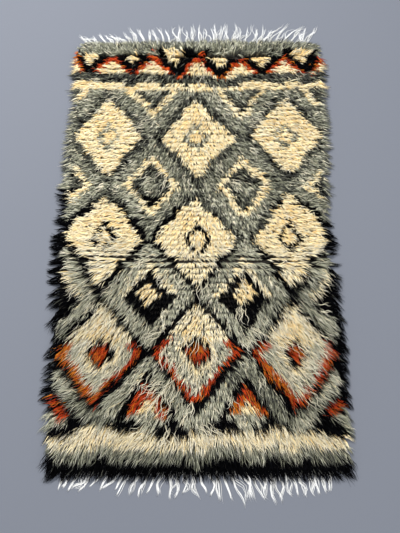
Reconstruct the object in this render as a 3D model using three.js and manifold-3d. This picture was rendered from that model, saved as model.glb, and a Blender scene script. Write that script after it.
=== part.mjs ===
// A hand-knotted pile rug lying flat. The long wool pile is combed towards the near end and
// fans out over both selvedges. The warps leave each end in a narrow woven band and a fringe.
// X runs across the rug, +Y runs to its far end, Z is up, and the floor is Z = 0.
import * as THREE from "three";
import { mergeGeometries, mergeVertices } from "three/addons/utils/BufferGeometryUtils.js";
import Module from "manifold-3d";

// Driving sizes, in millimetres.
const groundWidth = 950; // the woven ground, selvedge to selvedge
const rowPitch = 17.8; // one row of knots to the next
const rowCount = 88;
const pileHeight = 30; // the lying pile, over the floor
const rowLift = 2.6; // how far a row stands above or dips below its neighbours
const rimHeight = 14; // the pile where it turns down at an edge
const rimRun = 60; // how far in from an edge the pile has its full height
const cornerRadius = 32;
const lockWidth = 12; // a lock of pile at its root
const lockDepth = 9;
const lockRoot = 20; // how much of a lock lies in the pile
const sideReach = 50; // the longest lock past each edge
const nearReach = 46;
const farReach = 26;
const bandWidth = 12; // the plain woven band that ends the warps
const bandThickness = 3;
const fringeReach = 125; // the longest fringe strand, from the end of the ground
const strandWidth = 6.5;
const strandDepth = 2.6;
const clearance = 0.3; // between pieces that touch
const overFringe = 0.9; // between an end lock and the band or fringe below it

// How many locks and strands stand on each edge.
const sideLocks = 74;
const nearLocks = 44;
const farLocks = 34;
const fringeStrands = 36;

// At shares of the length from the near end: how far each selvedge lies outside a straight
// line, and how many degrees its locks turn to the near end.
const selvedges = [
  { along: 0.0, left: 8, right: 13, turn: 46 },
  { along: 0.1, left: 5, right: 11, turn: 36 },
  { along: 0.19, left: 13, right: 13, turn: 34 },
  { along: 0.27, left: 8, right: 14, turn: 33 },
  { along: 0.36, left: 8, right: 3, turn: 27 },
  { along: 0.46, left: 13, right: -12, turn: 12 },
  { along: 0.55, left: -1, right: -19, turn: 6 },
  { along: 0.66, left: 1, right: -9, turn: 5 },
  { along: 0.77, left: -5, right: -1, turn: 3 },
  { along: 0.88, left: -15, right: -3, turn: 0 },
  { along: 1.0, left: -2, right: 1, turn: -12 },
];

// At shares of the half width from the middle: how many degrees the fringe leans to the
// right, and how much of its full reach it has.
const fringes = [
  { across: -1.0, farLean: -50, farShare: 0.52, nearLean: -32, nearShare: 0.66 },
  { across: -0.62, farLean: -47, farShare: 0.58, nearLean: -54, nearShare: 0.74 },
  { across: -0.4, farLean: -26, farShare: 0.86, nearLean: -42, nearShare: 0.8 },
  { across: -0.2, farLean: -14, farShare: 0.94, nearLean: -12, nearShare: 0.8 },
  { across: 0.02, farLean: -6, farShare: 0.95, nearLean: 20, nearShare: 0.88 },
  { across: 0.25, farLean: 12, farShare: 1.0, nearLean: 30, nearShare: 1.0 },
  { across: 0.5, farLean: 32, farShare: 0.86, nearLean: 14, nearShare: 0.88 },
  { across: 0.75, farLean: 44, farShare: 0.76, nearLean: 8, nearShare: 0.76 },
  { across: 1.0, farLean: 48, farShare: 0.76, nearLean: 14, nearShare: 0.64 },
];

// Where the pile parts in a line across the rug: the middle one is an old fold.
const partings = [
  { along: 0.45, depth: 10, width: 26 },
  { along: 0.65, depth: 4, width: 19 },
  { along: 0.895, depth: 6, width: 19 },
];

// Soft lumps in the pile: how high, how long in X and in Y, and where each wave starts.
const lumps = [
  { height: 1.7, acrossWave: 430, alongWave: 150, start: 0.4 },
  { height: 1.4, acrossWave: -260, alongWave: 236, start: 2.1 },
  { height: 1.0, acrossWave: 205, alongWave: 96, start: 4.4 },
];

const groundLength = rowPitch * rowCount;
const halfLength = groundLength / 2;
const halfWidth = groundWidth / 2;

const wasm = await Module();
wasm.setup();

// The same sequence of numbers from 0 to 1 each time.
function randomFrom(seed) {
  let state = seed;
  return () => {
    state = (state + 0x6d2b79f5) | 0;
    let mixed = Math.imul(state ^ (state >>> 15), 1 | state);
    mixed = (mixed + Math.imul(mixed ^ (mixed >>> 7), 61 | mixed)) ^ mixed;
    return ((mixed ^ (mixed >>> 14)) >>> 0) / 4294967296;
  };
}

function smooth(share) {
  const t = THREE.MathUtils.clamp(share, 0, 1);
  return t * t * (3 - 2 * t);
}

// One column of a table at a place between its rows, which are in order of the column key.
function columnAt(table, key, place, column) {
  const inside = THREE.MathUtils.clamp(place, table[0][key], table[table.length - 1][key]);
  const next = Math.max(1, table.findIndex((row) => row[key] >= inside));
  const before = table[next - 1];
  const after = table[next];
  const share = smooth((inside - before[key]) / (after[key] - before[key]));
  return THREE.MathUtils.lerp(before[column], after[column], share);
}

function alongAt(y) {
  return (y + halfLength) / groundLength;
}

// How much a round corner takes off the width, near either end.
function cornerInset(y) {
  const fromArc = Math.max(0, cornerRadius - (halfLength - Math.abs(y)));
  return cornerRadius - Math.sqrt(cornerRadius ** 2 - fromArc ** 2);
}

function edgeAt(y, side) {
  const reach = halfWidth + columnAt(selvedges, "along", alongAt(y), side) - cornerInset(y);
  return side === "left" ? -reach : reach;
}

function partingDepth(x, y) {
  let depth = 0;
  for (const parting of partings) {
    const middle = parting.along * groundLength - halfLength + 7 * Math.sin(x / 140);
    depth += parting.depth * Math.exp(-(((y - middle) / parting.width) ** 2));
  }
  return depth;
}

function lumpHeight(x, y) {
  let height = 0;
  for (const lump of lumps) {
    const phase = (x / lump.acrossWave + y / lump.alongWave) * 2 * Math.PI;
    height += lump.height * Math.sin(phase + lump.start);
  }
  return height;
}

// The pile's top, which rises from the rim to its full height, with a row's own lift.
function pileTop(x, y, lift) {
  const fromSide = Math.min(x - edgeAt(y, "left"), edgeAt(y, "right") - x);
  const fromEnd = halfLength - Math.abs(y);
  const rise = smooth(Math.sqrt(Math.max(0, Math.min(fromSide, fromEnd)) / rimRun));
  const full = pileHeight + lift + lumpHeight(x, y) - partingDepth(x, y);
  return THREE.MathUtils.lerp(rimHeight, full, rise);
}

// Places across the rug: even steps of about this size, with closer ones by both selvedges.
function placesAcross(step) {
  const close = [0, 12, 34];
  const inner = groundWidth - 2 * close[2];
  const steps = Math.round(inner / step);
  const even = Array.from({ length: steps - 1 }, (_, i) => close[2] + ((i + 1) * inner) / steps);
  return [...close, ...even, ...close.map((place) => groundWidth - place).reverse()];
}

// Places along the rug: one for each row of knots, and closer ones around the corners.
function placesAlong() {
  const close = [0, 4, 10];
  const rows = Array.from({ length: rowCount - 1 }, (_, row) => (row + 1) * rowPitch);
  const places = [...close, ...rows, ...close.map((place) => groundLength - place).reverse()];
  return places.map((place) => place - halfLength);
}

function geometryOf(points, triangles) {
  const geometry = new THREE.BufferGeometry();
  geometry.setAttribute("position", new THREE.Float32BufferAttribute(points.flat(), 3));
  geometry.setIndex(triangles.flat());
  return geometry;
}

function solidOf(geometry) {
  const bare = new THREE.BufferGeometry();
  bare.setAttribute("position", geometry.getAttribute("position"));
  bare.setIndex(geometry.getIndex());
  const merged = mergeVertices(bare, 1e-4);
  return new wasm.Manifold(
    new wasm.Mesh({
      numProp: 3,
      vertProperties: new Float32Array(merged.getAttribute("position").array),
      triVerts: new Uint32Array(merged.getIndex().array),
    }),
  );
}

function joined(geometries) {
  const solid = geometries.map(solidOf).reduce((whole, piece) => whole.add(piece));
  const mesh = solid.getMesh();
  const geometry = new THREE.BufferGeometry();
  const places = new Float32Array(mesh.vertProperties);
  geometry.setAttribute("position", new THREE.BufferAttribute(places, 3));
  geometry.setIndex(new THREE.BufferAttribute(new Uint32Array(mesh.triVerts), 1));
  geometry.computeVertexNormals();
  return geometry;
}

// The body of the pile on its ground: a lumpy top whose rows stand unevenly, an upright rim
// and a flat underside.
function pileBody(random) {
  const shares = placesAcross(43).map((place) => place / groundWidth);
  const ys = placesAlong();
  const lastRow = ys.length - 1;
  const columns = shares.length;
  const points = [];
  for (const y of ys) {
    const start = 2 * Math.PI * random();
    for (const share of shares) {
      const x = THREE.MathUtils.lerp(edgeAt(y, "left"), edgeAt(y, "right"), share);
      points.push([x, y, pileTop(x, y, rowLift * Math.sin(x / 105 + start))]);
    }
  }
  const at = (column, row) => row * columns + column;
  const triangles = [];
  for (let row = 0; row < lastRow; row += 1) {
    for (let column = 0; column + 1 < columns; column += 1) {
      const [a, b] = [at(column, row), at(column + 1, row)];
      const [c, d] = [at(column + 1, row + 1), at(column, row + 1)];
      triangles.push([a, b, c], [a, c, d]);
    }
  }
  const lastColumn = columns - 1;
  const rim = [
    ...shares.slice(0, -1).map((_, column) => at(column, 0)),
    ...ys.slice(0, -1).map((_, row) => at(lastColumn, row)),
    ...shares.slice(0, -1).map((_, column) => at(lastColumn - column, lastRow)),
    ...ys.slice(0, -1).map((_, row) => at(0, lastRow - row)),
  ];
  const below = points.length;
  rim.forEach((top) => points.push([points[top][0], points[top][1], 0]));
  rim.forEach((top, i) => {
    const next = (i + 1) % rim.length;
    triangles.push([top, below + i, below + next], [top, below + next, rim[next]]);
  });
  const outline = rim.map((top) => new THREE.Vector2(points[top][0], points[top][1]));
  for (const [a, b, c] of THREE.ShapeUtils.triangulateShape(outline, [])) {
    triangles.push([below + a, below + c, below + b]);
  }
  return geometryOf(points, triangles);
}

// A three-sided strand with a flat underside, tapering to a point. Its heading turns by bend
// and sways by wave on the way. Its underside comes down from one height to another by the
// share of its length in settled.
function strand({ x, y, angle, bend, wave, length, width, depth, from, to, settled }) {
  const rings = 4;
  const points = [];
  const triangles = [];
  const place = new THREE.Vector2(x, y);
  for (let ring = 0; ring <= rings; ring += 1) {
    const share = ring / rings;
    const heading = angle + bend * share + wave * Math.sin(1.7 * Math.PI * share);
    if (ring > 0) {
      place.x += (Math.cos(heading) * length) / rings;
      place.y += (Math.sin(heading) * length) / rings;
    }
    const low = THREE.MathUtils.lerp(from, to, smooth(share / settled));
    if (ring === rings) {
      points.push([place.x, place.y, low]);
      continue;
    }
    const taper = Math.sqrt(1 - share ** 1.6);
    const across = new THREE.Vector2(-Math.sin(heading), Math.cos(heading));
    across.multiplyScalar((width / 2) * taper);
    points.push(
      [place.x - across.x, place.y - across.y, low],
      [place.x + across.x, place.y + across.y, low],
      [place.x, place.y, low + depth * taper],
    );
  }
  triangles.push([0, 2, 1]);
  for (let ring = 0; ring + 1 < rings; ring += 1) {
    for (let side = 0; side < 3; side += 1) {
      const [a, b] = [3 * ring + side, 3 * ring + ((side + 1) % 3)];
      triangles.push([a, b, b + 3], [a, b + 3, a + 3]);
    }
  }
  const last = 3 * (rings - 1);
  const tip = 3 * rings;
  triangles.push([last, last + 1, tip], [last + 1, last + 2, tip], [last + 2, last, tip]);
  return geometryOf(points, triangles);
}

// Shares from about 0.6 to 1, of which the largest is exactly 1.
function unevenShares(count, random) {
  const shares = Array.from({ length: count }, () => 0.62 + 0.38 * random());
  const largest = Math.max(...shares);
  return shares.map((share) => share / largest);
}

// Locks that come out of the pile over a selvedge, turn to the near end and lie on the floor.
function selvedgeLocks(side, random) {
  const sign = side === "left" ? -1 : 1;
  const outward = side === "left" ? Math.PI : 0;
  const run = groundLength - cornerRadius;
  const locks = unevenShares(sideLocks, random).map((share, i) => {
    const y = -run / 2 + ((i + 0.5) * run) / sideLocks + 3 * (random() - 0.5);
    const turn = columnAt(selvedges, "along", alongAt(y), "turn") + 9 * (random() - 0.5);
    const atRoot = THREE.MathUtils.degToRad(turn * 0.6);
    return strand({
      x: edgeAt(y, side) - sign * lockRoot * Math.cos(atRoot),
      y: y + lockRoot * Math.sin(atRoot),
      angle: outward - sign * atRoot,
      bend: -sign * THREE.MathUtils.degToRad(turn * 0.8),
      wave: 0,
      length: lockRoot + sideReach * share,
      width: lockWidth * (0.85 + 0.3 * random()),
      depth: lockDepth,
      from: 5,
      to: 0,
      settled: 0.75,
    });
  });
  return mergeGeometries(locks);
}

// Locks that come out of the pile over an end and lie just above the fringe.
function endLocks(end, count, reach, random) {
  const sign = end === "near" ? -1 : 1;
  const run = groundWidth - cornerRadius - lockWidth;
  const locks = unevenShares(count, random).map((share, i) => {
    const x = -run / 2 + ((i + 0.5) * run) / count + 3 * (random() - 0.5);
    const fan = THREE.MathUtils.degToRad(36 * (x / halfWidth) ** 3 + 8 * (random() - 0.5));
    return strand({
      x: x - lockRoot * Math.sin(fan),
      y: sign * (halfLength - lockRoot * Math.cos(fan)),
      angle: sign * (Math.PI / 2 - fan),
      bend: -sign * fan * 0.4,
      wave: 0,
      length: lockRoot + reach * share,
      width: lockWidth * (0.85 + 0.3 * random()),
      depth: lockDepth,
      from: 7,
      to: bandThickness + overFringe,
      settled: 1,
    });
  });
  return mergeGeometries(locks);
}

// The woven band at one end, with the warps that leave it and lie on the floor.
function fringe(end, random) {
  const sign = end === "near" ? -1 : 1;
  const length = groundWidth - 2 * cornerRadius;
  const band = new THREE.BoxGeometry(length, bandWidth, bandThickness);
  const bandY = sign * (halfLength + clearance + bandWidth / 2);
  band.translate(0, bandY, bandThickness / 2);
  const rootY = halfLength + clearance + bandWidth - strandWidth;
  const strands = unevenShares(fringeStrands, random).map((share, i) => {
    const x = -length / 2 + ((i + 0.5) * length) / fringeStrands + 3 * (random() - 0.5);
    const across = x / halfWidth;
    const leaning = columnAt(fringes, "across", across, end + "Lean") + 6 * (random() - 0.5);
    const lean = THREE.MathUtils.degToRad(leaning);
    const reach = (halfLength + fringeReach - rootY) * share;
    return strand({
      x,
      y: sign * rootY,
      angle: sign * (Math.PI / 2 - lean * 0.7),
      bend: -sign * lean * 0.5,
      wave: 0.3 * (random() - 0.5),
      length: (reach * columnAt(fringes, "across", across, end + "Share")) / Math.cos(lean),
      width: strandWidth * (0.85 + 0.3 * random()),
      depth: strandDepth,
      from: 0,
      to: 0,
      settled: 1,
    });
  });
  return joined([band, mergeGeometries(strands)]);
}

function meshOf(name, geometry, color, roughness) {
  const material = new THREE.MeshStandardMaterial({ color, roughness, metalness: 0 });
  const mesh = new THREE.Mesh(geometry, material);
  mesh.name = name;
  return mesh;
}

const random = randomFrom(7);
const pile = joined([
  pileBody(random),
  selvedgeLocks("left", random),
  selvedgeLocks("right", random),
  endLocks("near", nearLocks, nearReach, random),
  endLocks("far", farLocks, farReach, random),
]);
const nearFringe = fringe("near", random);
const farFringe = fringe("far", random);

const rug = new THREE.Group();
rug.name = "pile_rug";
rug.add(meshOf("knotted_pile", pile, 0x9c9a84, 0.95));
rug.add(meshOf("fringe_near", nearFringe, 0xf1f0ea, 0.9));
rug.add(meshOf("fringe_far", farFringe, 0xf1f0ea, 0.9));

// The origin lies under the middle of the whole rug, fringe and locks included.
const reach = new THREE.Box3().setFromObject(rug);
const middle = reach.getCenter(new THREE.Vector3());
rug.position.set(-middle.x, -middle.y, 0);

export default rug;
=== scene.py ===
import math

import bpy
import numpy as np
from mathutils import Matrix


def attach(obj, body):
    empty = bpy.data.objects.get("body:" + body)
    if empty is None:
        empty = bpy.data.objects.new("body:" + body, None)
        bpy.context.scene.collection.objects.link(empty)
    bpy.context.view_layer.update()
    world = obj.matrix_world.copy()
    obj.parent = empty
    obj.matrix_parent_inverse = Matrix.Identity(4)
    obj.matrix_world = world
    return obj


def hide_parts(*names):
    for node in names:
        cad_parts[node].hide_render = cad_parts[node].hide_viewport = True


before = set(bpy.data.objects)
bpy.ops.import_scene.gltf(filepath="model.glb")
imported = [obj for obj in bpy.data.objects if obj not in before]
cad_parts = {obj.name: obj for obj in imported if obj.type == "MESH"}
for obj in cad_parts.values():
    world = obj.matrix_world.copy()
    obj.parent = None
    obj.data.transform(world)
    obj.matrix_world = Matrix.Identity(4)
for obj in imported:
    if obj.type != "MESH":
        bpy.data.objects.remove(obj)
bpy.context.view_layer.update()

scene = bpy.context.scene
mm = 0.001

camera = {
    "place": (0.0155, -0.378, 1.400),  # held out over the near end
    "tilt": 10.9,  # degrees from straight down, towards the far end
    "lens": 27.0,  # mm
    "frame": 36.0,  # mm, the long side of the picture
    "clipStart": 0.01,
}


def placeCamera():
    lens = bpy.data.cameras.new("roomCamera")
    lens.lens = camera["lens"]
    lens.sensor_width = camera["frame"]
    lens.sensor_fit = "AUTO"
    lens.clip_start = camera["clipStart"]
    holder = bpy.data.objects.new("roomCamera", lens)
    holder.location = camera["place"]
    holder.rotation_euler = (math.radians(camera["tilt"]), 0.0, 0.0)
    scene.collection.objects.link(holder)
    scene.camera = holder


placeCamera()


def linear(hexColour):  # an sRGB hex value as the linear colour that nodes take
    channels = [int(hexColour[i : i + 2], 16) / 255 for i in (1, 3, 5)]
    channels = [c / 12.92 if c <= 0.04045 else ((c + 0.055) / 1.055) ** 2.4 for c in channels]
    return (*channels, 1.0)


def addNode(tree, kind, settings=None, inputs=None, links=None):
    node = tree.nodes.new(kind)
    for name, value in (settings or {}).items():
        setattr(node, name, value)
    for name, value in (inputs or {}).items():
        node.inputs[name].default_value = value
    for name, source in (links or {}).items():
        tree.links.new(source, node.inputs[name])
    return node


def newMaterial(name):
    material = bpy.data.materials.new(name)
    material.use_nodes = True
    material.node_tree.nodes.clear()
    return material, material.node_tree


room = {
    "floorColour": "#6F7279",
    "floorHalf": 20.0,
    "floorBelow": 0.2 * mm,  # so that the rug's underside doesn't flicker in it
    "skyColour": "#E4E9F2",
    "skyStrength": 0.95,
    # a round softbox at the far left, and a weak one at the near right
    "keyPlace": (-1.5, 2.2, 3.5),
    "keyAim": (0.0, 0.1, 0.0),
    "keySize": 1.3,
    "keyPower": 224.0,
    "fillPlace": (1.6, -1.6, 2.4),
    "fillAim": (0.0, 0.0, 0.0),
    "fillSize": 2.4,
    "fillPower": 22.0,
}


def areaLight(kind):
    light = bpy.data.lights.new(kind + "Light", "AREA")
    light.shape = "DISK"
    light.size = room[kind + "Size"]
    light.energy = room[kind + "Power"]
    holder = bpy.data.objects.new(kind + "Light", light)
    holder.location = room[kind + "Place"]
    away = np.array(room[kind + "Place"]) - np.array(room[kind + "Aim"])
    away = away / np.linalg.norm(away)
    holder.rotation_euler = (math.acos(away[2]), 0.0, math.atan2(away[0], -away[1]))
    scene.collection.objects.link(holder)


def dressRoom():
    half = room["floorHalf"]
    corners = [(-half, -half, 0), (half, -half, 0), (half, half, 0), (-half, half, 0)]
    mesh = bpy.data.meshes.new("studioFloor")
    mesh.from_pydata(corners, [], [(0, 1, 2, 3)])
    floor = bpy.data.objects.new("studioFloor", mesh)
    floor.location.z = -room["floorBelow"]
    scene.collection.objects.link(floor)
    # matt paint rolled on board, which gives a plain pale ground without shine
    material, tree = newMaterial("paintedFloor")
    shader = addNode(tree, "ShaderNodeBsdfPrincipled", inputs={
        "Base Color": linear(room["floorColour"]), "Roughness": 0.9, "Specular IOR Level": 0.2})
    addNode(tree, "ShaderNodeOutputMaterial", links={"Surface": shader.outputs["BSDF"]})
    mesh.materials.append(material)
    world = bpy.data.worlds.new("studioSky")
    world.use_nodes = True
    sky = world.node_tree.nodes["Background"]
    sky.inputs["Color"].default_value = linear(room["skyColour"])
    sky.inputs["Strength"].default_value = room["skyStrength"]
    scene.world = world
    areaLight("key")
    areaLight("fill")
    scene.view_settings.view_transform = "Standard"


dressRoom()
print("camera, light and floor are in place")


# the ground: warps and wefts that the pile is knotted on, with the near end at -y
ground = {
    "width": 950 * mm,
    "rowPitch": 17.8 * mm,  # one row of knots to the next
    "rows": 88,
    "knots": 170,  # in each row
    "thickness": 3 * mm,
    "cornerRadius": 32 * mm,
    "middle": (5.8 * mm, -0.7 * mm),
    "columns": 40,  # of faces from selvedge to selvedge
    # wool weft beaten down over cotton warps: ribs 4 mm wide across the rug, dull grey brown
    # painted darker, as shade for the gaps and partings in the pile
    "weave": {"pitch": (4 * mm, 2.2 * mm), "relief": 0.6 * mm, "colours": ("#1E1B17", "#3C362C")},
}
groundLength = ground["rowPitch"] * ground["rows"]
halfLength = groundLength / 2
halfWidth = ground["width"] / 2

# at shares of the length from the near end: how many mm each selvedge wanders out, and how many
# degrees its locks turn to the near end
selvedges = {
    "along": (0.0, 0.1, 0.19, 0.27, 0.36, 0.46, 0.55, 0.66, 0.77, 0.88, 1.0),
    "left": (8, 5, 13, 8, 8, 13, -1, 1, -5, -15, -2),
    "right": (13, 11, 13, 14, 3, -12, -19, -9, -1, -3, 1),
    "turn": (46, 36, 34, 33, 27, 12, 6, 5, 3, 0, -12),
}


def smooth(share):
    share = np.clip(share, 0, 1)
    return share * share * (3 - 2 * share)


def rampUp(value, start, span):  # 0 up to start, 1 from a span beyond it
    return smooth((value - start) / span)


def rampDown(value, end, span):  # 1 up to a span before the end, 0 beyond the end
    return smooth((end - value) / span)


def mix(first, second, share):
    return first + (second - first) * share


def columnAt(table, key, place, column):  # the same reading of a table as the solids have
    keys = np.array(table[key])
    values = np.array(table[column], float)
    place = np.clip(place, keys[0], keys[-1])
    after = np.clip(np.searchsorted(keys, place, side="left"), 1, len(keys) - 1)
    share = smooth((place - keys[after - 1]) / (keys[after] - keys[after - 1]))
    return mix(values[after - 1], values[after], share)


def alongAt(y):
    return (y + halfLength) / groundLength


def edgeAt(y, side):  # where a selvedge lies, corners rounded
    radius = ground["cornerRadius"]
    fromArc = np.clip(radius - (halfLength - np.abs(y)), 0, radius)
    inset = radius - np.sqrt(radius**2 - fromArc**2)
    reach = halfWidth + columnAt(selvedges, "along", alongAt(y), side) * mm - inset
    return -reach if side == "left" else reach


def outsideBy(x, y):  # how far a place lies outside the ground
    beyondSide = np.maximum(edgeAt(y, "left") - x, x - edgeAt(y, "right"))
    return np.maximum(beyondSide, np.abs(y) - halfLength)


def softNoise(x, y, size, seed):  # smooth random hills from -1 to 1, about size metres across
    cells = 101
    hills = np.random.default_rng(seed).uniform(-1, 1, (cells, cells))
    gridX = np.asarray(x) / size + 50
    gridY = np.asarray(y) / size + 50
    column = np.floor(gridX).astype(int)
    row = np.floor(gridY).astype(int)
    shareX = smooth(gridX - column)
    shareY = smooth(gridY - row)
    left, right = column % cells, (column + 1) % cells
    low = mix(hills[row % cells, left], hills[row % cells, right], shareX)
    high = mix(hills[(row + 1) % cells, left], hills[(row + 1) % cells, right], shareX)
    return mix(low, high, shareY)


def finishPiece(name, mesh, node):
    piece = bpy.data.objects.new(name, mesh)
    scene.collection.objects.link(piece)
    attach(piece, "root")
    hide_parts(node)
    return piece


def weaveMaterial(name, weave):
    # plain weave in hard-spun yarn: small over-and-under beads, matt, a little uneven in colour
    material, tree = newMaterial(name)
    place = addNode(tree, "ShaderNodeTexCoord").outputs["Object"]
    split = addNode(tree, "ShaderNodeSeparateXYZ", links={"Vector": place})
    beads = []
    for axis, pitch in zip("XY", weave["pitch"]):
        turns = addNode(tree, "ShaderNodeMath", {"operation": "MULTIPLY"},
                        {1: math.pi / pitch}, {0: split.outputs[axis]})
        beads.append(addNode(tree, "ShaderNodeMath", {"operation": "SINE"},
                             None, {0: turns.outputs[0]}).outputs[0])
    over = addNode(tree, "ShaderNodeMath", {"operation": "MULTIPLY"},
                   None, {0: beads[0], 1: beads[1]})
    height = addNode(tree, "ShaderNodeMapRange", None,
                     {"From Min": -1.0, "From Max": 1.0}, {"Value": over.outputs[0]})
    # wear and dust in clouds about 38 mm across
    cloudy = addNode(tree, "ShaderNodeTexNoise", None,
                     {"Scale": 26.0, "Detail": 4.0}, {"Vector": place})
    tone = addNode(tree, "ShaderNodeMath", {"operation": "MULTIPLY"},
                   None, {0: height.outputs[0], 1: cloudy.outputs["Fac"]})
    ramp = addNode(tree, "ShaderNodeValToRGB", links={"Fac": tone.outputs[0]})
    stops = ramp.color_ramp.elements
    stops[0].color, stops[1].color = (linear(colour) for colour in weave["colours"])
    stops[1].position = 0.6
    bump = addNode(tree, "ShaderNodeBump", None, {"Strength": 0.7, "Distance": weave["relief"]},
                   {"Height": height.outputs[0]})
    shader = addNode(tree, "ShaderNodeBsdfPrincipled", None,
                     {"Roughness": 0.9, "Specular IOR Level": 0.25, "Sheen Weight": 0.2},
                     {"Base Color": ramp.outputs["Color"], "Normal": bump.outputs["Normal"]})
    addNode(tree, "ShaderNodeOutputMaterial", links={"Surface": shader.outputs["BSDF"]})
    return material


def slabMesh(name, xs, ys, thickness):  # a closed flat sheet over rows of places
    rows, columns = xs.shape
    count = rows * columns
    depth = np.full(xs.shape, thickness)
    top = np.stack([xs, np.repeat(ys[:, None], columns, 1), depth], -1).reshape(-1, 3)
    bottom = top * (1, 1, 0)
    index = np.arange(count).reshape(rows, columns)
    corners = index[:-1, :-1], index[:-1, 1:], index[1:, 1:], index[1:, :-1]
    upper = np.stack([corner.ravel() for corner in corners], 1)
    faces = [upper, upper[:, ::-1] + count]
    rim = np.concatenate([index[0, :-1], index[:-1, -1], index[-1, :0:-1], index[:0:-1, 0]])
    after = np.roll(rim, -1)
    faces.append(np.stack([rim, rim + count, after + count, after], 1))
    mesh = bpy.data.meshes.new(name)
    mesh.from_pydata(np.concatenate([top, bottom]).tolist(), [], np.concatenate(faces).tolist())
    mesh.update()
    return mesh


def weaveGround():
    # a row of faces to each row of knots, and closer ones where the corners are round
    ys = np.concatenate([[0, 4 * mm, 10 * mm], np.arange(1, ground["rows"]) * ground["rowPitch"]])
    ys = np.unique(np.concatenate([ys, groundLength - ys[:3]])) - halfLength
    shares = np.linspace(0, 1, ground["columns"] + 1)
    left, right = edgeAt(ys, "left"), edgeAt(ys, "right")
    xs = left[:, None] + (right - left)[:, None] * shares[None, :]
    centreX, centreY = ground["middle"]
    mesh = slabMesh("groundWeave", xs + centreX, ys + centreY, ground["thickness"])
    mesh.materials.append(weaveMaterial("wovenGround", ground["weave"]))
    return finishPiece("groundWeave", mesh, "knotted_pile")


groundPiece = weaveGround()
print("the ground is woven")


# strands of yarn: closed tapering meshes of three sides. Each lies in a cell of its own in a
# UV layout of its piece
strand = {
    "flat": 0.8,  # its thickness to its width
    "blunt": 0.75,  # power of the taper
    "rootEnd": 0.6,  # height in the layout of the face that closes the root, in rings
    "inset": (0.08, 0.12),  # from the cell's corner, in cells
    "fill": 0.84,
}


def walk(start, stride, steps, headingAt, climbAt=lambda share: 0.0):
    # paths from their roots in equal strides, heading 0 being towards the near end and a quarter
    # turn to the right, and the level direction across each ring
    paths = np.zeros(start.shape[:-1] + (steps + 1, 3))
    headings = np.zeros(paths.shape[:-1])
    paths[..., 0, :] = start
    for step in range(steps):
        share = (step + 0.5) / steps
        heading, climb = headingAt(share), climbAt(share)
        level = stride * np.cos(climb)
        paths[..., step + 1, 0] = paths[..., step, 0] + level * np.sin(heading)
        paths[..., step + 1, 1] = paths[..., step, 1] - level * np.cos(heading)
        paths[..., step + 1, 2] = paths[..., step, 2] + stride * np.sin(climb)
        headings[..., step] = heading
    headings[..., steps] = headings[..., steps - 1]
    return paths, np.stack([np.cos(headings), np.sin(headings), np.zeros_like(headings)], -1)


def strandPoints(paths, sideways, radius, roll, taper, spread):
    # three corners round each ring but the last, which is the tip
    body = paths.shape[1] - 1
    share = np.linspace(0, 1, body + 1)[None, :body]
    tangent = np.gradient(paths, axis=1)
    tangent /= np.linalg.norm(tangent, axis=2, keepdims=True)
    upward = np.cross(tangent, sideways)
    upward /= np.linalg.norm(upward, axis=2, keepdims=True)
    width = radius[:, None] * (1 - share**taper) ** strand["blunt"]
    width = width * (1 + spread * (1 - share) ** 2)
    corners = []
    for side in range(3):
        angle = (roll + side * 2 * math.pi / 3)[:, None, None]
        outward = np.cos(angle) * sideways[:, :body]
        outward = outward + np.sin(angle) * upward[:, :body] * strand["flat"]
        corners.append(paths[:, :body] + outward * width[:, :, None])
    corners = np.stack(corners, 2).reshape(len(paths), body * 3, 3)
    return np.concatenate([corners, paths[:, body:]], 1)


def strandFaces(body):  # of one strand, and where their corners go in its cell: side and ring
    faces, places = [], []
    for ring in range(body - 1):
        for side in range(3):
            a, b = 3 * ring + side, 3 * ring + (side + 1) % 3
            faces.append((a, b, b + 3, a + 3))
            places += [(side, ring), (side + 1, ring), (side + 1, ring + 1), (side, ring + 1)]
    faces.append((0, 2, 1))
    places += [(0, -strand["rootEnd"]), (1, -strand["rootEnd"]), (0.5, -0.2)]
    last, tip = 3 * (body - 1), 3 * body
    for side in range(3):
        faces.append((last + side, last + (side + 1) % 3, tip))
        places += [(side, body - 1), (side + 1, body - 1), (side + 0.5, body)]
    return faces, np.array(places, float)


def layOut(places, count, body):  # each strand's faces in a cell of its own, within the unit square
    across = math.ceil(math.sqrt(count * 3))
    down = math.ceil(count / across)
    row, column = np.divmod(np.arange(count), across)
    insetX, insetY = strand["inset"]
    upwards = (places[None, :, 1] + strand["rootEnd"]) / (body + strand["rootEnd"])
    laidOut = np.empty((count, len(places), 2), np.float32)
    laidOut[:, :, 0] = (column[:, None] + insetX + strand["fill"] * places[None, :, 0] / 3) / across
    laidOut[:, :, 1] = (row[:, None] + insetY + strand["fill"] * upwards) / down
    return laidOut.ravel()


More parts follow.
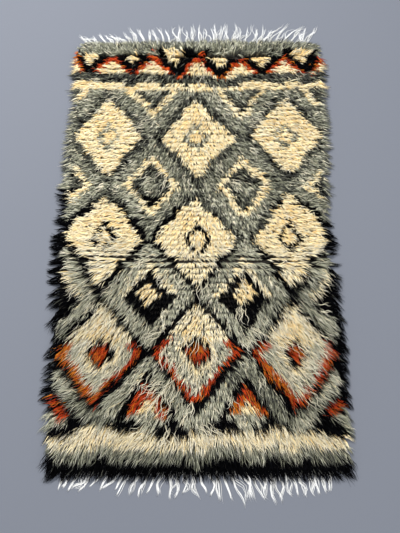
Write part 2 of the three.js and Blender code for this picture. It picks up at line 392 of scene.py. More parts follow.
def strandMesh(name, paths, sideways, radius, tone, fade, roll, taper=1.9, spread=0.0):
    # paths: strands x rings x 3. spread: how much wider the root is. tone and fade: each strand's
    # own part in its colour
    count, body = len(paths), paths.shape[1] - 1
    points = strandPoints(paths, sideways, radius, roll, taper, spread)
    faces, places = strandFaces(body)
    corners = np.concatenate(faces)
    starts = np.cumsum([0] + [len(face) for face in faces[:-1]])
    perStrand = points.shape[1]

    def forEach(values, step):  # the numbers of one strand, counted on for every strand
        return (values[None, :] + (np.arange(count) * step)[:, None]).ravel().astype(np.int32)

    mesh = bpy.data.meshes.new(name)
    mesh.vertices.add(count * perStrand)
    mesh.vertices.foreach_set("co", points.ravel().astype(np.float32))
    mesh.loops.add(count * len(corners))
    mesh.loops.foreach_set("vertex_index", forEach(corners, perStrand))
    mesh.polygons.add(count * len(faces))
    mesh.polygons.foreach_set("loop_start", forEach(starts, len(corners)))
    mesh.polygons.foreach_set("use_smooth", np.ones(count * len(faces), bool))
    mesh.update(calc_edges=True)
    mesh.uv_layers.new(name="OFBake").data.foreach_set("uv", layOut(places, count, body))
    ringShares = np.append(np.repeat(np.linspace(0, 1, body + 1)[:body], 3), 1.0)
    for label, values in (("tone", np.repeat(tone[:, None], perStrand, 1)),
                          ("along", np.repeat(ringShares[None], count, 0)),
                          ("fade", np.repeat(fade[:, None], perStrand, 1))):
        values = values.ravel().astype(np.float32)
        mesh.attributes.new(label, "FLOAT", "POINT").data.foreach_set("value", values)
    return mesh


wool = {
    # a fibre is about 0.03 mm wide, too fine to show. Streaks 0.3 to 2 mm wide stand for them:
    # noise cells over the whole layout of a piece, across its strands and along them
    "streaks": (900.0, 90.0, 1.0),
    "fibreRelief": 0.4 * mm,
    # the colour runs from root to tip with the share along the strand plus these, within a range
    "weights": {"tone": 0.45, "fade": 0.3, "fibres": 0.25},
    "range": (0.2, 1.9),
    "bodyStop": 0.45,  # where in it the body's colour is
}


def woolMaterial(name, colours, shine):
    # rug wool, loosely spun and felted a little, and the warps' cotton, spun alike: dense at the
    # root and darker there, which is painted shade between the strands, sun-paled at the tip, with
    # fine lengthwise fibres and a soft sheen
    material, tree = newMaterial(name)
    layout = addNode(tree, "ShaderNodeUVMap", {"uv_map": "OFBake"}).outputs["UV"]
    stretched = addNode(tree, "ShaderNodeMapping", None,
                        {"Scale": wool["streaks"]}, {"Vector": layout})
    fibres = addNode(tree, "ShaderNodeTexNoise", None, {"Scale": 1.0, "Detail": 2.0},
                     {"Vector": stretched.outputs["Vector"]}).outputs["Fac"]
    sources = {"fibres": fibres}
    for label in ("tone", "along", "fade"):
        attribute = addNode(tree, "ShaderNodeAttribute", {"attribute_name": label})
        sources[label] = attribute.outputs["Fac"]
    total = sources["along"]
    for label, weight in wool["weights"].items():
        total = addNode(tree, "ShaderNodeMath", {"operation": "MULTIPLY_ADD"},
                        {1: weight}, {0: sources[label], 2: total}).outputs[0]
    lowest, highest = wool["range"]
    share = addNode(tree, "ShaderNodeMapRange", None,
                    {"From Min": lowest, "From Max": highest}, {"Value": total})
    ramp = addNode(tree, "ShaderNodeValToRGB", links={"Fac": share.outputs[0]})
    stops = ramp.color_ramp.elements
    # the root colour is painted shade: darker than the yarn, for the shade deep in the pile
    stops[0].color, stops[1].color = linear(colours[0]), linear(colours[2])
    stops.new(wool["bodyStop"]).color = linear(colours[1])
    bump = addNode(tree, "ShaderNodeBump", None,
                   {"Strength": 0.35, "Distance": wool["fibreRelief"]}, {"Height": fibres})
    shader = addNode(tree, "ShaderNodeBsdfPrincipled", None,
                     {"Roughness": 0.6, "Specular IOR Level": shine,
                      "Sheen Weight": shine * 0.5, "Sheen Roughness": 0.4},
                     {"Base Color": ramp.outputs["Color"], "Normal": bump.outputs["Normal"]})
    addNode(tree, "ShaderNodeOutputMaterial", links={"Surface": shader.outputs["BSDF"]})
    return material


# the design, knot by knot
# each yarn's root colour is painted shade, darker than the yarn so that the gaps between the locks
# read as shadow
yarns = {  # root, body and tip colours of each yarn, how it shines, and the record's slot
    "ivory": {"colours": ("#E2CC96", "#F2E0B1", "#FAF1D4"), "shine": 0.3, "slot": "wool_ivory"},
    "cream": {"colours": ("#CDBD96", "#EADDBC", "#FBF6E6"), "shine": 0.3, "slot": "wool_ivory"},
    "gold": {"colours": ("#DCB06A", "#F2D290", "#FAE8B8"), "shine": 0.3, "slot": "wool_ivory"},
    "paleSage": {"colours": ("#5C5A46", "#A8A58B", "#DFDCC5"), "shine": 0.3, "slot": "wool_grey"},
    "sage": {"colours": ("#2C2C23", "#71715B", "#ACAB92"), "shine": 0.25, "slot": "wool_grey"},
    "darkGrey": {"colours": ("#12120F", "#3A3A32", "#6A6959"), "shine": 0.2,
                 "slot": "wool_dark_grey"},
    "black": {"colours": ("#020202", "#070708", "#141417"), "shine": 0.0, "slot": "wool_black"},
    "rust": {"colours": ("#541006", "#B0330A", "#E25E1C"), "shine": 0.1, "slot": "wool_rust"},
    "amber": {"colours": ("#6A3206", "#BE640E", "#E68E30"), "shine": 0.1, "slot": "wool_rust"},
}
blends = {  # shares of the yarns in the knots of each part of the design
    "ivory": {"ivory": 0.54, "cream": 0.34, "gold": 0.07, "paleSage": 0.05},
    "straw": {"ivory": 0.66, "cream": 0.06, "gold": 0.27, "paleSage": 0.01},
    "gold": {"ivory": 0.32, "cream": 0.1, "gold": 0.56, "paleSage": 0.02},
    "silver": {"ivory": 0.06, "cream": 0.32, "paleSage": 0.56, "sage": 0.06},
    "lightField": {"ivory": 0.02, "cream": 0.1, "paleSage": 0.68, "sage": 0.18, "darkGrey": 0.02},
    "mottled": {"cream": 0.07, "paleSage": 0.4, "sage": 0.31, "darkGrey": 0.22},
    "darkField": {"cream": 0.02, "paleSage": 0.26, "sage": 0.46, "darkGrey": 0.26},
    "charcoal": {"paleSage": 0.03, "sage": 0.17, "darkGrey": 0.5, "black": 0.3},
    "black": {"darkGrey": 0.02, "black": 0.98},
    "rust": {"black": 0.01, "rust": 0.83, "amber": 0.16},
    "ochre": {"rust": 0.3, "amber": 0.7},
}
design = {
    "lozengeWidth": 316.7 * mm,  # three lozenges across
    "lozengeRows": 22,  # and three along the field
    "endRows": 11,  # the border at each end
    "toothWidth": 158.3 * mm,
    "sideBorder": 30 * mm,
    "sideTeeth": 5,  # to a lozenge
    "stripes": (3.4, 5.4, 8),  # rows from the near end where the dark, grey and pale ones end
    "stripeTeeth": 3,  # height in rows of the dark teeth beyond them
    # rows from the far end: where its teeth start, how high they are, and its inner lines
    "border": {"start": 2.5, "teeth": 5, "darkLine": 7.2, "paleLine": 9.4},
    "wander": 8 * mm,  # how far a knotter strays from the chart
    "nearHalf": 0.53,  # share of the length that has the darkest yarns
    # where the parts of the large and the small lozenges end, as shares of the lattice's pitch.
    # Two values are for the near half and the rest
    "large": {"outline": (0.515, 0.5), "rim": (0.435, 0.405), "body": 0.36, "gold": 0.3,
              "silver": 0.22, "coreRim": 0.15, "core": 0.1},
    "small": {"outline": 0.31, "body": 0.23, "core": 0.12},
}


def triangleWave(turns):  # 0 at whole turns, 0.5 between them
    return np.abs(turns - np.round(turns))


def chartOf(x, y):
    # each knot's part of the design: a lattice of stepped lozenges, a toothed border at the far
    # end and plain stripes at the near one
    wobbleX = x + design["wander"] * softNoise(x, y, 45 * mm, 11)
    wobbleY = y + design["wander"] * 1.3 * softNoise(x, y, 60 * mm, 12)
    row = (wobbleY + halfLength) / ground["rowPitch"]
    nearHalf = alongAt(y) - 0.1 * softNoise(x, y, 160 * mm, 13) < design["nearHalf"]
    dark = np.where(nearHalf, "black", "charcoal").astype("U12")
    edging = np.where(nearHalf, "black", "lightField").astype("U12")
    shade = softNoise(x, y * 3, 240 * mm, 14) + 0.5 * softNoise(x, y, 70 * mm, 15)
    shade = shade + np.where(nearHalf, 0.4, 0.15)
    field = np.where(shade > 0.0, "lightField", "darkField").astype("U12")

    # small lozenges stand between the large ones, whose lower parts differ in the first row
    large, small = design["large"], design["small"]
    across = wobbleX / design["lozengeWidth"] + 0.5
    along = (row - design["endRows"]) / design["lozengeRows"]
    firstRow = along < 1
    lower = along - np.floor(along) < 0.6
    fromSmall = triangleWave(across) + triangleWave(along)
    fromLarge = 1 - fromSmall
    body = np.where(lower & firstRow & (fromLarge > large["silver"]), "silver", "ivory")
    foot = np.where(lower & firstRow, "rust", "ivory")
    parts = field
    for inside, part in (
        (fromSmall < small["outline"], np.where(firstRow, dark, "ivory")),
        (fromSmall < small["body"], np.where(along < 0.5, "rust", dark)),
        (fromSmall < small["core"], np.where(nearHalf, "gold", "lightField")),
        (fromLarge < np.where(nearHalf, *large["outline"]), dark),
        (fromLarge < np.where(nearHalf, *large["rim"]), foot),
        (fromLarge < large["body"], body),
        ((fromLarge < large["gold"]) & ~lower, "gold"),
        (fromLarge < large["coreRim"], np.where(nearHalf, dark, "lightField")),
        (fromLarge < large["core"], np.where(firstRow, "rust", "gold")),
    ):
        parts = np.where(inside, part, parts)

    toEdge = halfWidth - np.abs(wobbleX)
    tooth = 0.5 - triangleWave(along * design["sideTeeth"])
    parts = np.where(toEdge < design["sideBorder"] * (0.55 + 1.5 * tooth), edging, parts)

    # stripes near and teeth far, counted in rows from the end
    saw = 2 * triangleWave(wobbleX / design["toothWidth"])
    fromNear = row + 0.7 * softNoise(x, y, 70 * mm, 18)
    first, second, third = design["stripes"]
    nearEnd = np.select([fromNear < first, fromNear < second, fromNear < third,
                         fromNear < third + design["stripeTeeth"] * saw],
                        [dark, "darkField", "ivory", dark], field)
    border = design["border"]
    fromFar = ground["rows"] - row
    tip = (fromFar - border["start"] + 0.5 * softNoise(x, y, 40 * mm, 17)) / border["teeth"]
    farEnd = np.select([fromFar < border["start"], fromFar > border["paleLine"],
                        fromFar > border["darkLine"],
                        saw < tip - 0.26, saw < tip - 0.02, saw < tip + 0.46],
                       ["darkField", "ivory", "charcoal", "ivory", "rust", "black"], "gold")
    parts = np.where(fromNear < design["endRows"], nearEnd, parts)
    parts = np.where(fromFar < design["endRows"], farEnd, parts)

    # lots of dye: some of the rust is more amber, and the far half is yellower and mottled
    parts = np.where((parts == "rust") & (softNoise(x, y, 120 * mm, 16) > 0.1), "ochre", parts)
    parts = np.where((parts == "ivory") & (alongAt(y) > 0.48), "straw", parts)
    return np.where((parts == "lightField") & (alongAt(y) > 0.5), "mottled", parts)


def yarnsFor(x, y, perKnot, random):
    parts = chartOf(x, y)
    draw = random.random((len(x), perKnot)) * 0.9999  # below the last limit, however it rounds
    chosen = np.zeros((len(x), perKnot), int)
    for part, shares in blends.items():
        here = parts == part
        limits = np.cumsum([shares.get(name, 0.0) for name in yarns])
        chosen[here] = np.searchsorted(limits, draw[here])
    return chosen


# the pile: strands tied in knots, row by row
pile = {
    # rise and droop: degrees above level at the root and below it at the tip. hold: how late it
    # bends over. scatter: how much strands differ. close: how far a lock closes to its tip.
    # curl: degrees by which it sways
    "combed": {"length": 58 * mm, "radius": 1.35 * mm, "rise": 52.0, "droop": -8.0,
               "hold": 0.9, "scatter": 0.6, "close": 0.33, "curl": 20.0},
    "curled": {"length": 43 * mm, "radius": 2.2 * mm, "rise": 76.0, "droop": 30.0,
               "hold": 1.1, "scatter": 0.9, "close": 0.08, "curl": 26.0},
    "change": (0.36, 0.16),  # where along it starts to change from combed to curled, and the span
    # away from the sides the combed half is shorter and stands up more
    "upright": {"rise": 24.0, "droop": 34.0, "shorter": 0.36},
    # first row, end row, strands in a knot, and rows that share a lock at the selvedge
    "halves": {"Near": (0, 41, 3, 2), "Far": (41, 88, 4, 1)},
    "segments": 3,
    "rootSpread": 0.8,  # how much wider a strand is where it is tied
    # brushed to both sides: power of the share across by which it turns, combed and curled
    "sideways": (1.0, 0.72),
    "swirls": ((20, 130 * mm, 21), (12, 45 * mm, 22)),  # degrees, size and seed
    # place along and strength of each parting: the first is an old fold
    "partings": ((0.45, 1.0), (0.65, 0.4), (0.84, 0.3)),
    "lastRows": 3.6,  # at the far end, brushed out over the fringe
    "turningRow": 2.7,  # among them, in disorder
    # how much knots, and then strands, differ: degrees, and shares of the length
    "knotDiffers": {"place": 1.0 * mm, "lean": 7, "rise": 4, "length": 0.04},
    "strandDiffers": {"place": (2.8 * mm, 1.3 * mm), "lean": 11, "rise": 6, "length": 0.09,
                      "bend": 16, "droop": 6},
    "rowWanders": (3.6 * mm, 2.0 * mm),  # slowly, and from row to row
    "sideKnots": 6,  # at each selvedge, gathered into its locks
    "sideClose": 0.8,
    "height": 33 * mm,
    "tipHeight": 6 * mm,  # of the locks on the floor
    "overFringe": 4.4 * mm,
    "aboveFloor": 0.2 * mm,
    "reach": 525 * mm,  # the locks of the solid end here at both sides
}


def pileValue(name, y):
    return mix(pile["combed"][name], pile["curled"][name], rampUp(alongAt(y), *pile["change"]))


def uprightAt(x, y):  # share by which the pile stands up: in the middle of the near half
    across = np.clip(np.abs(x) / halfWidth, 0, 1)
    along = alongAt(y)
    share = (1 - rampUp(across, 0.1, 0.65)) * (1 - rampUp(along, 0.4, 0.12))
    share = share * rampUp(along, 0.06, 0.1)
    return np.clip(share * (1 + 0.5 * softNoise(x, y, 90 * mm, 39)), 0, 1.15)


def fromParting(place, x, y):  # how far beyond a parting, which wanders a little
    wander = (12 * mm * softNoise(x, x * 0, 110 * mm, 24)
              + 11 * mm * softNoise(x, x * 0, 26 * mm, 26))
    return y - place * groundLength + halfLength - wander


def laidOver(place, strength, x, y):  # share by which a parting turns the pile sideways
    beyond = fromParting(place, x, y) - 12 * mm
    patchy = np.clip(0.95 + 0.3 * softNoise(x, y, 50 * mm, 25), 0, 1)
    return strength * np.exp(-((beyond / (38 * mm)) ** 4)) * patchy


def leanAt(x, y):  # the heading of the pile, in radians from the near end towards the right
    along = alongAt(y)
    across = x / halfWidth
    middleWanders = 0.13 * softNoise(x * 0, y, 90 * mm, 27) * (1 - np.abs(across))
    across = np.clip(across + middleWanders, -1, 1)
    edgeTurn = np.radians(90 - columnAt(selvedges, "along", along, "turn"))
    # brushed to both sides, more so in the far half, where it lies nearly along the rows
    power = mix(*pile["sideways"], rampUp(along, 0.4, 0.14))
    lean = edgeTurn * np.sign(across) * np.abs(across) ** power
    lean += sum(np.radians(degrees) * softNoise(x, y, size, seed)
                for degrees, size, seed in pile["swirls"])
    side = np.tanh(x / (70 * mm) + 0.7 * softNoise(x, y, 90 * mm, 23))
    for place, strength in pile["partings"]:
        lean = mix(lean, np.radians(86) * side, laidOver(place, strength, x, y))
    return lean


def tieKnots(firstRow, endRow, random):  # rows of knots, each a little out of line
    knots = ground["knots"]
    row, knot = np.divmod(np.arange(firstRow * knots, endRow * knots), knots)
    placeAlong = knot * ground["width"] / knots
    y = (row + 0.5) * ground["rowPitch"] - halfLength
    y += pile["knotDiffers"]["place"] * random.standard_normal(len(row))
    slowly, often = pile["rowWanders"]
    y += (slowly * softNoise(placeAlong, row * 0.02, 110 * mm, 31)
          + often * softNoise(placeAlong, row * 0.7, 30 * mm, 35))
    share = (knot + random.random(endRow)[row] + 0.3 * random.standard_normal(len(row))) / knots
    x = mix(edgeAt(y, "left"), edgeAt(y, "right"), np.clip(share, 0.004, 0.996))
    return row, knot, x, y


def poseKnots(x, y, random):  # the heading, rise and length of the pile at each knot
    differs = pile["knotDiffers"]
    across = np.clip(np.abs(x) / halfWidth, 0, 1)
    scatter, upright = pileValue("scatter", y), uprightAt(x, y)
    lean = leanAt(x, y) + np.radians(differs["lean"]) * random.standard_normal(len(x))

    # the last rows at the far end point outwards, beyond a row that stands in disorder
    fromFar = (halfLength - y) / ground["rowPitch"]
    outward = np.sign(x) * np.radians(180 - 75 * across**2.2)
    turning = np.exp(-(((fromFar - pile["turningRow"]) / 0.9) ** 2))
    lean = mix(lean, outward, rampDown(fromFar, pile["lastRows"], 1.8))
    lean = lean + turning * np.radians(38) * random.standard_normal(len(x))
    rise = (pileValue("rise", y) + pile["upright"]["rise"] * upright
            + 6 * softNoise(x, y, 60 * mm, 32)
            + differs["rise"] * scatter * random.standard_normal(len(x)) + 16 * turning)

    length = pileValue("length", y) * (1 - pile["upright"]["shorter"] * upright)
    length = length * (1 + 0.07 * softNoise(x, y, 80 * mm, 33)
                       + differs["length"] * scatter * random.standard_normal(len(x)))
    # longer over the selvedges, shorn on the partings, uneven over the far fringe, and worn
    # round the far corners
    length *= 1 + across**10 * (0.14 + 0.4 * rampUp(alongAt(y), 0.3, 0.2)
                                + 0.34 * softNoise(x * 0, y, 22 * mm, 36))
    for place, strength in pile["partings"]:
        length *= 1 - 0.7 * strength * np.exp(-((fromParting(place, x, y) / (8 * mm)) ** 2))
    uneven = 0.1 + 0.35 * softNoise(x, y * 0, 24 * mm, 37)
    length *= 1 + rampDown(fromFar, pile["lastRows"], 2) * uneven
    length *= 1 - 0.6 * rampUp(across, 0.76, 0.22) * rampDown(fromFar, 5, 4)
    return lean, rise, length


def closeLocks(paths, sideways, row, knot, y, sideRows, random):
    # the strands of a knot, and then of neighbouring knots, close up sideways into pointed locks
    knots = ground["knots"]
    share = np.linspace(0, 1, paths.shape[-2])[None, None, :, None]
    atSelvedge = np.minimum(knot, knots - 1 - knot) < pile["sideKnots"]
    close = np.where(atSelvedge, pile["sideClose"], pileValue("close", y))[:, None, None, None]
    apart = ((paths.mean(1, keepdims=True) - paths) * sideways).sum(-1, keepdims=True)
    paths += sideways * apart * (close * share**1.2)

    # each lock has a number: its row's thousand, and one for each side or for two knots or so
    lock = row * 1000 + (knot + row * 7 // 3 + (random.random(len(row)) < 0.35)) // 2
    lock = np.where(atSelvedge, row // sideRows * 1000 + 900 + (knot > knots / 2), lock)
    locks, lockIndex, lockSize = np.unique(lock, return_inverse=True, return_counts=True)
    middle = np.zeros((len(locks),) + paths.shape[-2:])
    np.add.at(middle, lockIndex, paths.mean(1))
    middle /= lockSize[:, None, None]
    together = np.where(atSelvedge, 1.0, random.random(len(locks))[lockIndex])
    apart = ((middle[lockIndex][:, None] - paths) * sideways).sum(-1, keepdims=True)
    paths += sideways * apart * (close * together[:, None, None, None] * share**1.5)


def settlePile(paths, radius, random):
    # no strand stands above the pile or sinks into the ground, and past the edges the locks come
    # down to the floor, or to the fringe at the ends
    outside = outsideBy(paths[..., 0], paths[..., 1])
    share = np.linspace(0, 1, paths.shape[-2])
    overEnd = np.abs(paths[..., 1]) > halfLength - 2 * mm
    under = mix(ground["thickness"], pile["aboveFloor"], rampUp(outside, 0, 10 * mm))
    lowest = np.where(overEnd, pile["overFringe"], under)
    lowest = lowest + radius[..., None] * 0.8 * (1 + pile["rootSpread"] * (1 - share) ** 2)
    lowest[..., 0] = paths[..., 0, 2]
    highest = mix(pile["height"], pile["tipHeight"], rampUp(outside, -30 * mm, 72 * mm))
    layer = (0.4 + 0.6 * random.random(radius.shape))[..., None]
    layer = mix(1, layer, rampUp(outside, -25 * mm, 30 * mm))
    layer = np.where(outside > -25 * mm, layer, 1.3)
    limit = lowest + np.maximum(highest - lowest, 0) * layer
    paths[..., 2] = np.maximum(np.minimum(paths[..., 2], limit), lowest)

    paths[..., :2] += ground["middle"]
    within = np.clip(paths[..., 0], -pile["reach"], pile["reach"])
    paths[..., 0] = mix(within, paths[..., 0], 0.3)


def growRows(firstRow, endRow, perKnot, sideRows, random):
    # the strands of some rows of knots: which yarn each is, and what strandMesh takes
    row, knot, x, y = tieKnots(firstRow, endRow, random)
    chosen = yarnsFor(x, y, perKnot, random)
    lean, rise, length = poseKnots(x, y, random)

    shape = chosen.shape
    differs = pile["strandDiffers"]
    scatter = pileValue("scatter", y)[:, None]
    leanBy = np.radians(differs["lean"]) * (0.6 + 0.6 * scatter)
    lean = lean[:, None] + leanBy * random.standard_normal(shape)
    rise = rise[:, None] + differs["rise"] * scatter * random.standard_normal(shape)
    rise = np.radians(np.clip(rise, 45, 90))
    length = length[:, None] * (1 + differs["length"] * scatter * random.standard_normal(shape))
    bend = np.radians(differs["bend"]) * random.standard_normal(shape)
    curl = pileValue("curl", y) * (1 - 0.7 * laidOver(*pile["partings"][0], x, y))
    sway = np.radians(curl[:, None]) * random.standard_normal(shape)
    swayStart = random.random(shape) * 2 * math.pi
    droop = (pileValue("droop", y) + pile["upright"]["droop"] * uprightAt(x, y))[:, None]
    droop = np.radians(droop + differs["droop"] * random.standard_normal(shape))
    hold = pileValue("hold", y)[:, None]
    slipX, slipY = differs["place"]
    start = np.stack([x[:, None] + slipX * random.standard_normal(shape),
                      y[:, None] + slipY * random.standard_normal(shape),
                      np.full(shape, ground["thickness"] + 0.3 * mm)], -1)
    paths, sideways = walk(
        start, length / pile["segments"], pile["segments"],
        lambda share: (lean + bend * (share - 0.25)
                       + sway * np.sin(2 * math.pi * share * 0.9 + swayStart)),
        lambda share: rise - (rise + droop) * share**hold)

    closeLocks(paths, sideways, row, knot, y, sideRows, random)
    radius = pileValue("radius", y)[:, None] * (0.8 + 0.4 * random.random(shape))
    settlePile(paths, radius, random)
    fade = 0.5 + 0.5 * softNoise(x, y, 110 * mm, 34)[:, None] + 0.12 * random.standard_normal(shape)
    tone = random.random(shape)
    roll = random.random(shape) * 2 * math.pi
    return chosen, paths, sideways, radius, tone, fade, roll


def growPile():
    random = np.random.default_rng(5)
    wools = {name: woolMaterial(name + "Wool", yarn["colours"], yarn["shine"])
             for name, yarn in yarns.items()}
    triangles = 6 * pile["segments"] - 2
    made = []
    for half, counts in pile["halves"].items():
        chosen, *strands = growRows(*counts, random)
        for index, (name, yarn) in enumerate(yarns.items()):
            mine = chosen == index
            if not mine.any():
                continue
            mesh = strandMesh(name + half, *[values[mine] for values in strands],
                              spread=pile["rootSpread"])
            mesh.materials.append(wools[name])
            piece = finishPiece(name + "Pile" + half, mesh, "knotted_pile")
            made.append(piece)
            print(f"{piece.name}: {mine.sum()} strands, {mine.sum() * triangles} triangles")
    return made


pilePieces = growPile()
print("the pile is knotted")


# loose locks of long pale hairs that lie on top of the pile
strays = {
    "near": 60,  # locks over the near half, and over the far one
    "far": 36,
    "hairs": 6,  # in each lock
    "length": (45 * mm, 105 * mm),
    "farLength": 0.7,  # of that
    "radius": 1.05 * mm,
    "segments": 8,
    "inset": 55 * mm,  # from the selvedges
    "rootSpread": (8 * mm, 9 * mm),  # of the hairs of a lock
    "fan": 13,  # degrees between them
    "bend": 26,  # and these in degrees along them
    "wave": 30,
    "rootHeight": 14 * mm,  # within the pile
    "crest": {"near": 33 * mm, "far": 26 * mm},
    "sideHeight": 7 * mm,
    # root, body and tip: the darker root is painted shade within the pile
    "colours": ("#B9B08F", "#E2D8BA", "#FBF6E4"),
}


def layStrays():
    random = np.random.default_rng(29)
    locks, hairs = strays["near"] + strays["far"], strays["hairs"]
    count = locks * hairs
    inNear = np.arange(locks) < strays["near"]
    along = np.where(inNear, mix(0.07, 0.5, random.random(locks)),
                     mix(0.5, 0.985, random.random(locks) ** 0.8))
    x = (2 * random.random(locks) - 1) * (halfWidth - strays["inset"])
    y = along * groundLength - halfLength
    lean = leanAt(x, y) + np.radians(20) * random.standard_normal(locks)
    outward = np.pi - np.sign(x) * np.radians(30) * random.random(locks)
    lean = np.where(along > 0.955, outward, lean)  # over the far end's fringe
    length = mix(*strays["length"], random.random(locks) ** 1.4)
    length = length * np.where(inNear, 1, strays["farLength"])
    crest = np.where(inNear, strays["crest"]["near"], strays["crest"]["far"])

    # the hairs of a lock start close together and fan out along it
    x, y, lean, length, crest = (np.repeat(each, hairs) for each in (x, y, lean, length, crest))
    x = x + strays["rootSpread"][0] * random.standard_normal(count)
    y = y + strays["rootSpread"][1] * random.standard_normal(count)
    length = length * (0.6 + 0.5 * random.random(count))
    lean = lean + np.radians(strays["fan"]) * random.standard_normal(count)
    bend = np.radians(strays["bend"]) * random.standard_normal(count)
    wave = np.radians(strays["wave"]) * (0.5 + random.random(count))
    waves = 0.9 + 1.1 * random.random(count)
    waveStart = 2 * math.pi * random.random(count)
    segments = strays["segments"]
    paths, sideways = walk(
        np.stack([x, y, np.zeros(count)], -1), length / segments, segments,
        lambda share: (lean + bend * (share - 0.3)
                       + wave * np.sin(2 * math.pi * waves * share + waveStart)))

    # they come up out of the pile, lie on it, and sink at its sides
    share = np.linspace(0, 1, segments + 1)
    crest = crest[:, None] + 3 * mm * random.random((count, 1))
    height = mix(strays["rootHeight"], crest, smooth(share * 3.2)[None]) - 5 * mm * share[None] ** 2
    beside = rampUp(outsideBy(paths[..., 0], paths[..., 1]), -40 * mm, 60 * mm)
    paths[..., 2] = mix(height, strays["sideHeight"], beside)
    paths[..., :2] += ground["middle"]
    mesh = strandMesh("strayHairs", paths, sideways,
                      strays["radius"] * (0.7 + 0.6 * random.random(count)), random.random(count),
                      random.random(count), random.random(count) * 2 * math.pi)
    mesh.materials.append(woolMaterial("strayWool", strays["colours"], 0.3))
    return finishPiece("strayHairs", mesh, "knotted_pile")


pilePieces.append(layStrays())
print("the stray hairs are laid")


# the woven bands that end the warps, and their fringe
fringe = {
    "bandWidth": 12 * mm,
    "bandThickness": 3 * mm,
    "bandGap": 0.3 * mm,  # from the ground
    # cotton warps under a few picks of weft: pale cord-like ribs 3 mm apart
    "bandWeave": {"pitch": (3 * mm, 1.5 * mm), "relief": 0.5 * mm,
                  "colours": ("#8D8A80", "#DEDBD2")},
    "tufts": 36,
    "wisps": 9,  # in each tuft
    "segments": 6,
    "reach": 125 * mm,  # the longest, from the end of the ground
    "rootInset": 3 * mm,  # from the band's outer edge
    "rootSlip": 1.7 * mm,
    "twigAngle": 13,  # degrees from one twig of a tuft to the next
    "wave": 26,  # degrees
    "near": {
        "seed": 41,
        "radius": 1.4 * mm,
        "twigs": 1.3,  # how many twigs a tuft splits into, at most
        "uneven": (0.86, 1.06),  # how much the twigs of a tuft differ in length
        "loose": 2,  # degrees by which the wisps of a twig stray from it
        "hook": 32,  # degrees by which a tuft turns towards its tip
        # root, body and tip: the grey root is painted shade by the band
        "colours": ("#B4B2AB", "#ECEAE5", "#F8F7F2"),
    },
    "far": {
        "seed": 42,
        "radius": 1.15 * mm,
        "twigs": 3.0,
        "uneven": (0.74, 1.16),
        "loose": 4,
        "hook": 20,
        # root, body and tip: the grey root is painted shade by the band
        "colours": ("#A6A59E", "#E2E1DC", "#FFFFFF"),
    },
}
# at shares of the half width: degrees of lean to the right, and share of the reach. It follows
# the solids' table, but with shorter strands at the left
fringeLay = {
    "across": (-1.0, -0.62, -0.4, -0.2, 0.02, 0.25, 0.5, 0.75, 1.0),
    "farLean": (-58, -54, -26, -14, -6, 12, 32, 44, 48),
    "farShare": (0.34, 0.4, 0.88, 0.99, 1.0, 1.08, 0.92, 0.78, 0.7),
    "nearLean": (-32, -54, -42, -12, 20, 30, 14, 8, 14),
    "nearShare": (0.5, 0.49, 0.6, 0.76, 0.84, 1.0, 0.88, 0.76, 0.62),
}
bandLength = ground["width"] - 2 * ground["cornerRadius"]
bandStart = halfLength + fringe["bandGap"]


def weaveBand(end):
    sign = -1 if end == "near" else 1
    middleX, middleY = ground["middle"]
    ys = np.sort(sign * (bandStart + np.linspace(0, fringe["bandWidth"], 5))) + middleY
    xs = np.repeat(np.linspace(-bandLength / 2, bandLength / 2, 61)[None], 5, 0) + middleX
    mesh = slabMesh(end + "Band", xs, ys, fringe["bandThickness"])
    mesh.materials.append(weaveMaterial(end + "WovenBand", fringe["bandWeave"]))
    return finishPiece("wovenBand" + end.capitalize(), mesh, "fringe_" + end)


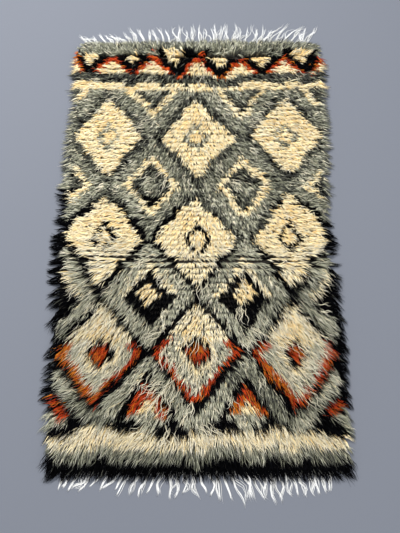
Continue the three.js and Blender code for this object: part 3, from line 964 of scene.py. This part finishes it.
def combFringe(end):
    own = fringe[end]
    random = np.random.default_rng(own["seed"])
    tufts, wisps, segments = fringe["tufts"], fringe["wisps"], fringe["segments"]
    x = -bandLength / 2 + (np.arange(tufts) + 0.5) * bandLength / tufts
    x = x + 3 * mm * (random.random(tufts) - 0.5)
    across = x / halfWidth
    lean = columnAt(fringeLay, "across", across, end + "Lean") + 6 * random.standard_normal(tufts)
    lean = np.radians(lean)
    root = bandStart + fringe["bandWidth"] - fringe["rootInset"]
    reach = (halfLength + fringe["reach"] - root) * (0.74 + 0.26 * random.random(tufts))
    size = reach * columnAt(fringeLay, "across", across, end + "Share") / np.cos(lean)
    hook = np.radians(own["hook"]) * random.standard_normal(tufts)

    # the wisps of a tuft gather into twigs, which part towards their tips
    shape = (tufts, wisps)
    twig = np.floor(random.random(shape) * own["twigs"]).astype(int)
    each = (np.arange(tufts)[:, None], twig)
    loose = np.radians(own["loose"])
    spread = (np.radians(fringe["twigAngle"]) * (twig - own["twigs"] / 2 + 0.4)
              + 0.8 * loose * random.standard_normal(shape))
    length = size[:, None] * (0.85 + 0.15 * random.random(shape))
    length = length * mix(*own["uneven"], random.random((tufts, 4)))[each]
    wave = (loose * random.standard_normal(shape)
            + np.radians(fringe["wave"]) * random.standard_normal((tufts, 4))[each])
    waveStart = (2 * math.pi * random.random((tufts, 4))[each]
                 + 0.2 * random.standard_normal(shape))
    radius = own["radius"] * (0.75 + 0.5 * random.random(shape))
    start = np.stack([x[:, None] + fringe["rootSlip"] * random.standard_normal(shape),
                      np.full(shape, -root), np.zeros(shape)], -1)
    paths, sideways = walk(
        start, length / segments, segments,
        lambda share: ((lean * 0.8)[:, None] + (hook * (share - 0.3))[:, None]
                       + spread * smooth(share * 1.6 - 0.5)
                       + wave * np.sin(2 * math.pi * share * 1.1 + waveStart)))

    # they leave the band's edge and rest on the floor
    share = np.linspace(0, 1, segments + 1)
    lift = (0.2 + 0.8 * random.random(shape))[..., None]
    paths[..., 2] = (radius[..., None] * (1 - share**2) * 0.9
                     + 1.6 * mm * lift * (1 - share) ** 1.5 + 0.1 * mm)
    if end == "far":
        paths[..., 1] *= -1
        sideways[..., 1] *= -1
    paths[..., :2] += ground["middle"]
    count = tufts * wisps
    mesh = strandMesh(end + "Fringe", paths.reshape(count, segments + 1, 3),
                      sideways.reshape(count, segments + 1, 3), radius.ravel(),
                      random.random(count), random.random(count),
                      random.random(count) * 2 * math.pi, taper=2.4)
    mesh.materials.append(woolMaterial(end + "WarpCotton", own["colours"], 0.2))
    return finishPiece("fringe" + end.capitalize(), mesh, "fringe_" + end)


fringePieces = [make(end) for end in ("near", "far") for make in (weaveBand, combFringe)]
print("the fringe is combed out")
